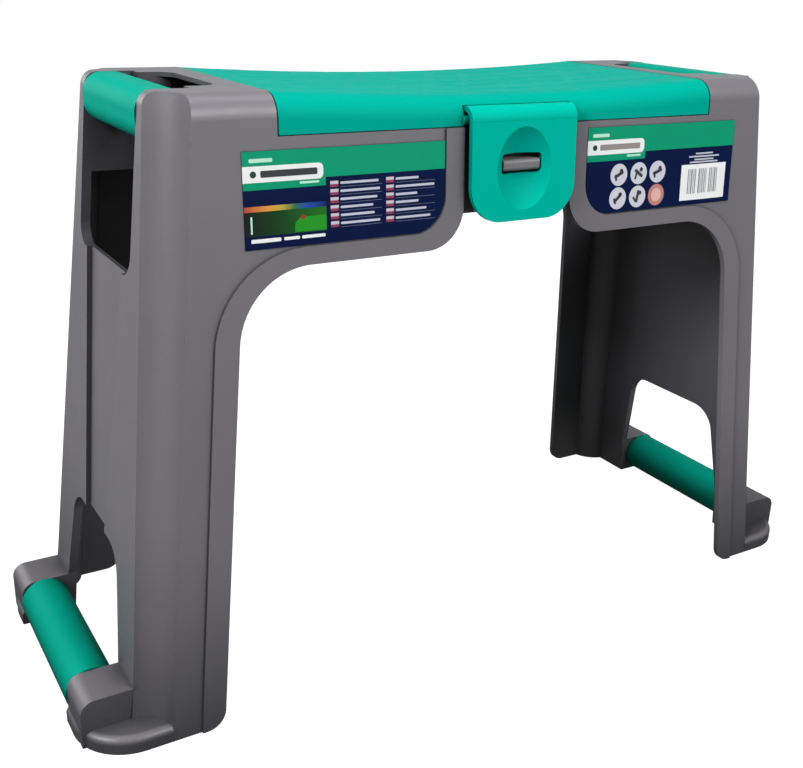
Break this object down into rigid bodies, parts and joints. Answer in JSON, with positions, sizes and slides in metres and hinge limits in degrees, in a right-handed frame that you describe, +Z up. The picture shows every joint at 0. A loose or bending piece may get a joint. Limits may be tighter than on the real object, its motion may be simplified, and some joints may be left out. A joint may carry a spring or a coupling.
{
  "type": "garden kneeler seat",
  "caption": "Garden seat and kneeler on two splayed legs, with a storage tray under a hinged lid, a front latch and grip rolls.",
  "frame": {"origin": "middle of the footprint, on the floor", "axes": "+X along the seat, +Y from front to back, +Z up"},
  "size_m": [0.644, 0.2392, 0.4095],
  "materials": {
    "grey_shell": "fine grained moulding",
    "dark_shell": "fine grained moulding",
    "green_shell": "satin moulding",
    "green_grip": "satin moulding",
    "steel": "zinc plated",
    "label_film": "printed film"
  },
  "bodies": {
    "frame": {"left_front_label": "label_film", "left_leg": "grey_shell", "left_lower_grip": "green_grip", "left_lower_rod": "steel", "left_lower_rod_cap": "grey_shell", "left_top_grip": "green_grip", "left_top_rod": "steel", "left_top_rod_cap": "grey_shell", "left_tray_screws": "steel", "lid_hinge_clips": "steel", "lid_hinge_pin": "steel", "right_front_label": "label_film", "right_leg": "grey_shell", "right_lower_grip": "green_grip", "right_lower_rod": "steel", "right_lower_rod_cap": "grey_shell", "right_top_grip": "green_grip", "right_top_rod": "steel", "right_top_rod_cap": "grey_shell", "right_tray_screws": "steel", "tray": "dark_shell"},
    "lid": {"lid": "green_shell", "latch_pin": "steel"},
    "latch": {"latch": "green_shell"}
  },
  "joints": [
    {"name": "lid_hinge", "type": "hinge", "parent": "frame", "child": "lid", "pos_m": [0, 0.0985, 0.386], "axis": [-1, 0, 0], "range_deg": [0, 100]},
    {"name": "latch_hinge", "type": "hinge", "parent": "lid", "child": "latch", "pos_m": [0, -0.091, 0.3888], "axis": [-1, 0, 0], "range_deg": [0, 75]}
  ]
}
